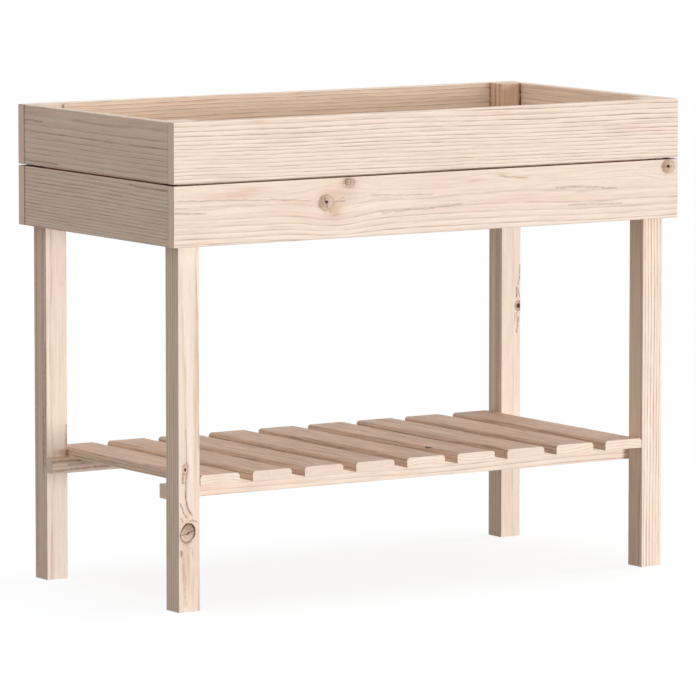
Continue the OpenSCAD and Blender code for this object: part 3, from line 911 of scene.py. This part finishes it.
paint_pine(
    "leg_back_right", "upright", heart=(0.11, 0.025), ring=0.0052, wave=0.005, lines=0.6, streaks=0.8,
    seed=43.8,
    eddies=(
        dict(at=back_leg(477, 409), along=0.03, across=0.012, swirl=0.7),
    ),
    stains_and_painted_light=(
        # Painted warm shade at the top of the leg, inside the box.
        dict(at=back_leg(462, 765), along=0.09, across=0.04, strength=0.8, ink=PAINTED_WARM_SHADE),
        *(dict(at=right_leg(y, 765), along=0.09, across=0.04, strength=1.2, ink=PAINTED_WARM_SHADE)
          for y in (201, 212, 223)),
        # Painted light on the left face, at the middle and low down below the shelf.
        dict(at=right_leg(218, 400), along=0.22, across=0.04, strength=0.9, ink=PAINTED_LIGHT_WOOD),
        *(dict(at=right_leg(y, 90), along=0.1, across=0.04, strength=0.9, ink=PAINTED_LIGHT_WOOD)
          for y in (203, 214, 225)),
    ),
    hairlines=(
        line(back_leg, (480.4, 480), (479.0, 458), (476, 447), width=0.0013, strength=0.6),
        line(back_leg, (474.0, 440), (473.2, 425), width=0.0017, strength=0.8),
        line(back_leg, (476.0, 440), (480.0, 424), width=0.0012, strength=0.6),
        line(back_leg, (469.8, 396), (469.8, 376), width=0.001, strength=0.45),
        line(back_leg, (473.5, 398), (474.0, 380), width=0.001, strength=0.45),
        line(back_leg, (477.0, 388), (474.5, 361.7), width=0.0016, strength=0.7),
        line(right_leg, (228, 590), (228, 225), width=0.006, strength=0.25, ink=GRAIN_INK),
        # The next two lines are painted shade along the leg's edges where it meets the right and back
        # boards inside the box.
        line(back_leg, (480.2, 799), (480.2, 700), width=0.004, strength=1.0),
        line(right_leg, (230, 799), (230, 700), width=0.005, strength=0.9),
        line(right_leg, (214, 799), (214, 700), width=0.0024, strength=0.45),
        line(right_leg, (202, 799), (202, 700), width=0.003, strength=0.25),
        line(right_leg, (208, 590), (208.5, 225), width=0.0016, strength=0.25),
        line(right_leg, (202, 590), (201.5, 225), width=0.0022, strength=0.25),
    ),
    knots=(
        dict(at=back_leg(477.0, 408.5), along=0.0088, across=0.007, dark_side=(0.0, 0.0, -0.4), fill=0.9,
             rim=0.9, core=0.4, halo=0.9, cracks=0.4, rays=1.5, seed=8.0),
        dict(at=back_leg(477.2, 408.5), along=0.005, across=0.0044, fill=1.0, rim=0.3, core=0.85,
             halo=0.0, cracks=0.0, rays=0.0, seed=12.0),
    ),
)

# Shelf

# Painted light: the front rail is tinted brighter, for its face in the slats' shade.
paint_pine(
    "shelf_rail_front", "long", heart=(0.06, 0.08), ring=0.0062, wave=0.012, lines=0.7, tint=PAINTED_LIGHT_TINT,
    seed=47.0,
)
# Painted shade: the back rail is tinted darker, for the slats' shade above it.
paint_pine(
    "shelf_rail_back", "long", heart=(-0.06, -0.08), ring=0.006, wave=0.012, lines=0.7, tint=SHADED,
    seed=53.0,
    hairlines=(
        line(back_rail, (-482, 202.5), (-430, 203), (-370, 204), width=0.0028, strength=0.6),
        line(back_rail, (-452, 196), (-390, 199), (-330, 199.5), width=0.0022, strength=0.5),
        line(back_rail, (-482, 186), (-400, 189), (-310, 190), width=0.0024, strength=0.5),
    ),
)

# The slats lie heart side up and heart side down in turn. Four have wide growth rings and plain,
# dull ends. The sixth has a small knot, and the ninth gets painted shade, browner at the back.

PLAIN_SLATS = (2, 3, 4, 7)
SLAT_KNOTS = {
    6: (
        dict(at=shelf_top(69, -136), along=0.01, across=0.0036, fill=1.0, rim=0.6, core=0.95, cracks=0.0,
             seed=9.0),
    ),
}
SLAT_PAINTED_SHADE = {
    9: (
        dict(at=shelf_top(405, 170), along=0.13, across=0.04, strength=0.6, ink=KNOT_BROWN),
    ),
}

for number in range(1, 10):
    plain = number in PLAIN_SLATS
    side = 1 if number % 2 else -1
    heart_depth = 0.24 + 0.02 * (number % 3)
    heart_offset = 0.016 * (number % 4 - 1.5)
    paint_pine(
        f"shelf_slat_{number}", "slat", heart=(-side * heart_depth, heart_offset),
        ring=0.009 if plain else 0.0052, lean=(0.012 * side, 0.0), wave=0.009, lines=0.9,
        end_lines=0.15 if plain else 0.6, streaks=2.6, tint=SLAT_TOP,
        end_tint=DULL_SLAT_END if plain else SLAT_END, seed=59.0 + 3.7 * number,
        stains_and_painted_light=SLAT_PAINTED_SHADE.get(number, ()), knots=SLAT_KNOTS.get(number, ()),
    )

# Floor of the box

FLOOR_RING = 0.0056

for side, heart_depth in (("front", 0.06), ("back", -0.06)):
    paint_pine(
        f"floor_batten_{side}", "long", heart=(heart_depth, 0.08), ring=FLOOR_RING,
        seed=97.0 + heart_depth,
    )
for side, heart_depth in (("left", 0.06), ("right", -0.06)):
    paint_pine(
        f"floor_batten_{side}", "short", heart=(heart_depth, 0.08), ring=FLOOR_RING,
        seed=103.0 + heart_depth,
    )
    paint_pine(
        f"floor_end_strip_{side}", "slat", heart=(-0.09, heart_depth), ring=FLOOR_RING,
        seed=107.0 + heart_depth,
    )
for number in range(1, 12):
    side = 1 if number % 2 else -1
    heart_depth = 0.07 + 0.01 * (number % 4)
    heart_offset = 0.018 * (number % 5 - 2)
    paint_pine(
        f"floor_slat_{number}", "slat", heart=(side * heart_depth, heart_offset), ring=FLOOR_RING,
        lean=(0.01 * side, 0.0), wave=0.009, streaks=1.4, end_lines=0.6, seed=113.0 + 4.3 * number,
    )


# Screws: bright zinc plate, cloudy in colour and sheen, with a fine grit

ZINC_WARM = linear(214, 212, 200)
ZINC_COOL = linear(186, 188, 192)
CLOUD_FINENESS = 900.0
GRIT_FINENESS = 5200.0
GRIT_STRENGTH = 0.25
GRIT_DEPTH = 0.00005
ZINC_ROUGHNESS_STEP = (0.2, 0.8, 0.26, 0.44)

zinc, tree, shader = new_material("zinc plated screw")
shader.inputs["Metallic"].default_value = 1.0
source = new_node(tree, "ShaderNodeTexCoord")
cloud = blur_noise(tree, source.outputs["Object"], scale=CLOUD_FINENESS, detail=3.0, rough=0.6)
grit = blur_noise(tree, source.outputs["Object"], scale=GRIT_FINENESS, detail=2.0, rough=0.6)
colour = blend_colour(tree, cloud, ZINC_WARM, ZINC_COOL)
rough = ramp(tree, cloud, *ZINC_ROUGHNESS_STEP)
feed_shader(tree, shader, colour, rough, grit, GRIT_STRENGTH, GRIT_DEPTH)
for name in ("box_screws", "batten_screws", "floor_screws", "rail_screws", "slat_screws"):
    dress(name, zinc)


def seen_directly(tree):
    """1 for what the camera sees by itself, in gloss or through glass, and 0 for light that bounces."""
    ray = new_node(tree, "ShaderNodeLightPath")
    seen = calc(tree, "MAXIMUM", ray.outputs["Is Camera Ray"], ray.outputs["Is Glossy Ray"])
    return calc(tree, "MAXIMUM", seen, ray.outputs["Is Transmission Ray"])


# Floor: pale grey to the light that bounces. To the camera it is white, and keeps a soft shadow: its
# glow makes up for what the open light leaves of white, so only the shadow shows. The shadow's share
# dies out between SHADOW_NEAR and SHADOW_FAR from the middle.

FLOOR_RADIUS = 90.0
FLOOR_CORNERS = 96
FLOOR_BOUNCE = (0.30, 0.30, 0.30, 1.0)
OPEN_LIGHT = (0.726, 0.696, 0.676)
SHADOW_SHARE = 0.22
SHADOW_NEAR = 0.9
SHADOW_FAR = 2.6

for thing in bpy.context.selected_objects:
    thing.select_set(False)
bpy.ops.mesh.primitive_circle_add(
    vertices=FLOOR_CORNERS, radius=FLOOR_RADIUS, fill_type="NGON", location=(0.0, 0.0, 0.0)
)
floor = bpy.context.object
floor.name = "studio_floor"
floor_material, tree, shader = new_material("pale studio floor")
tree.nodes.remove(shader)
source = new_node(tree, "ShaderNodeTexCoord")
far = vector_calc(tree, "LENGTH", source.outputs["Object"])
share = ramp(tree, far, SHADOW_NEAR, SHADOW_FAR, SHADOW_SHARE, 0.0)
bounce = new_node(tree, "ShaderNodeBsdfDiffuse")
bounce.inputs["Color"].default_value = FLOOR_BOUNCE
shaded = new_node(tree, "ShaderNodeBsdfDiffuse")
feed(shaded.inputs["Color"], evenly(tree, share))
glow = new_node(tree, "ShaderNodeEmission")
lit = vector_calc(tree, "MULTIPLY", evenly(tree, share), OPEN_LIGHT)
feed(glow.inputs["Color"], vector_calc(tree, "SUBTRACT", (1.0, 1.0, 1.0), lit))
shown = new_node(tree, "ShaderNodeAddShader")
feed(shown.inputs[0], shaded.outputs[0])
feed(shown.inputs[1], glow.outputs[0])
joined = new_node(tree, "ShaderNodeMixShader")
feed(joined.inputs["Fac"], seen_directly(tree))
feed(joined.inputs[1], bounce.outputs[0])
feed(joined.inputs[2], shown.outputs[0])
feed(tree.nodes["Material Output"].inputs["Surface"], joined.outputs[0])
floor.data.materials.append(floor_material)
floor.visible_shadow = False


# Light: a plain warm sky that is white to the camera, a low soft lamp from the right of the front,
# one from the right side and a cool one from above

SKY_LIGHT = (0.590, 0.515, 0.453, 1.0)
WHITE = (1.0, 1.0, 1.0, 1.0)
SIDE_COLOUR = (1.0, 0.88, 0.80)
TOP_COLOUR = (0.50, 0.82, 1.0)

sky = bpy.data.worlds.new("studio sky")
bpy.context.scene.world = sky
sky.use_nodes = True
tree = sky.node_tree
backdrop = tree.nodes["Background"]
feed(backdrop.inputs["Color"], blend_colour(tree, seen_directly(tree), SKY_LIGHT, WHITE))


def add_sun(name, light, angle, towards, colour=(1.0, 1.0, 1.0)):
    """A far lamp, angle degrees wide, that shines along towards. A white face that meets light 1
    squarely shows as white."""
    lamp = bpy.data.lights.new(name, "SUN")
    lamp.energy = light * math.pi
    lamp.angle = math.radians(angle)
    lamp.color = colour
    holder = bpy.data.objects.new(name, lamp)
    holder.rotation_euler = Vector(towards).to_track_quat("-Z", "Y").to_euler()
    bpy.context.scene.collection.objects.link(holder)


add_sun("front_light", light=0.61, angle=13.0, towards=(-0.2587, 0.9656, 0.026))
add_sun("side_light", light=0.40, angle=15.0, towards=(-0.966, 0.0, -0.259), colour=SIDE_COLOUR)
add_sun("top_light", light=0.22, angle=25.0, towards=(0.0, 0.0, -1.0), colour=TOP_COLOUR)


# Camera at the photograph's own place: in metres, millimetres of lens and radians

CAMERA_PLACE = (-5.67826, -8.74207, 1.56974)
CAMERA_DIP = 0.1135
CAMERA_TURN = -0.5757
FILM_WIDTH = 36.0
LENS = 320.9
NEAREST_SEEN = 0.5
FURTHEST_SEEN = 400.0

camera_data = bpy.data.cameras.new("camera")
camera_data.sensor_width = FILM_WIDTH
camera_data.lens = LENS
camera_data.clip_start = NEAREST_SEEN
camera_data.clip_end = FURTHEST_SEEN
camera = bpy.data.objects.new("camera", camera_data)
camera.location = CAMERA_PLACE
camera.rotation_euler = (math.pi / 2 - CAMERA_DIP, 0.0, CAMERA_TURN)
bpy.context.scene.collection.objects.link(camera)
bpy.context.scene.camera = camera
bpy.context.scene.view_settings.view_transform = "Standard"
